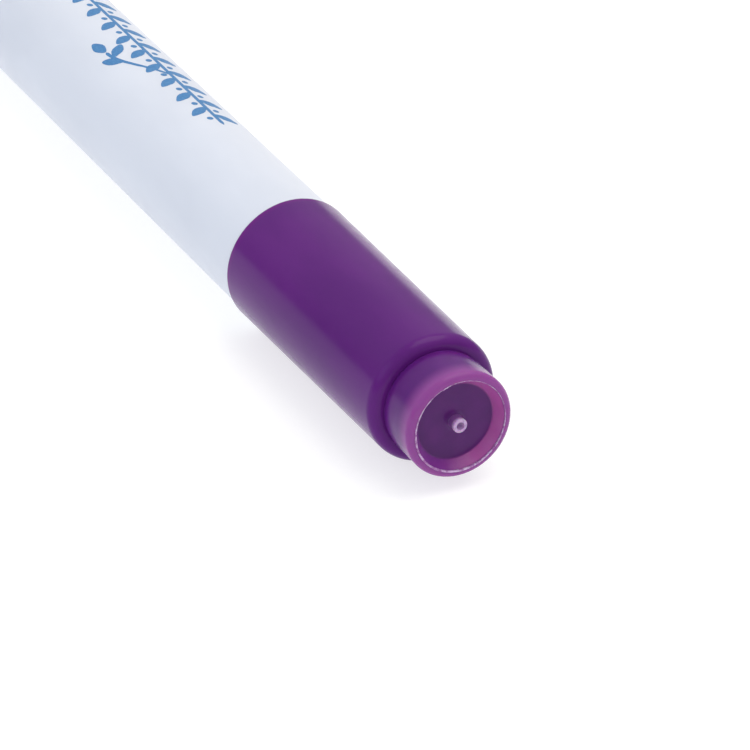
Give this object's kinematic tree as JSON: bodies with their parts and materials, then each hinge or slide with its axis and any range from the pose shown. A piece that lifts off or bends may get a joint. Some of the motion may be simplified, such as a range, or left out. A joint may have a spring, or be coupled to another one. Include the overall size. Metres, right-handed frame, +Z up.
{
  "type": "fabric marking pen",
  "caption": "Round fibre-tip fabric marking pen with a printed barrel and a push-on cap that ends in a dished ring.",
  "frame": {"origin": "on the pen's axis, halfway between the end of the plug and the lip of the closed cap", "axes": "+X along the pen towards the closed end of the cap; +Z up, with the pen lying on a surface"},
  "size_m": [0.14, 0.011, 0.011],
  "materials": {
    "barrel_white": "satin moulded polypropylene with a printed blue mark",
    "section_white": "satin moulded polypropylene",
    "nib_fibre": "bonded fibre, wet with ink",
    "inked_fibre": "fibre bundle, soaked with ink",
    "clear_film": "clear film",
    "cap_purple": "satin moulded polypropylene, slightly translucent",
    "ring_purple": "satin moulded polypropylene, slightly translucent"
  },
  "bodies": {
    "pen": {"barrel": "barrel_white", "front_section": "section_white", "nib": "nib_fibre", "ink_reservoir": "inked_fibre", "reservoir_film": "clear_film", "end_plug": "cap_purple"},
    "cap": {"cap_sleeve": "cap_purple", "inner_cap": "ring_purple"}
  },
  "joints": [
    {"name": "cap_slide", "type": "slide", "parent": "pen", "child": "cap", "axis": [1, 0, 0], "range_m": [0, 0.045]}
  ]
}
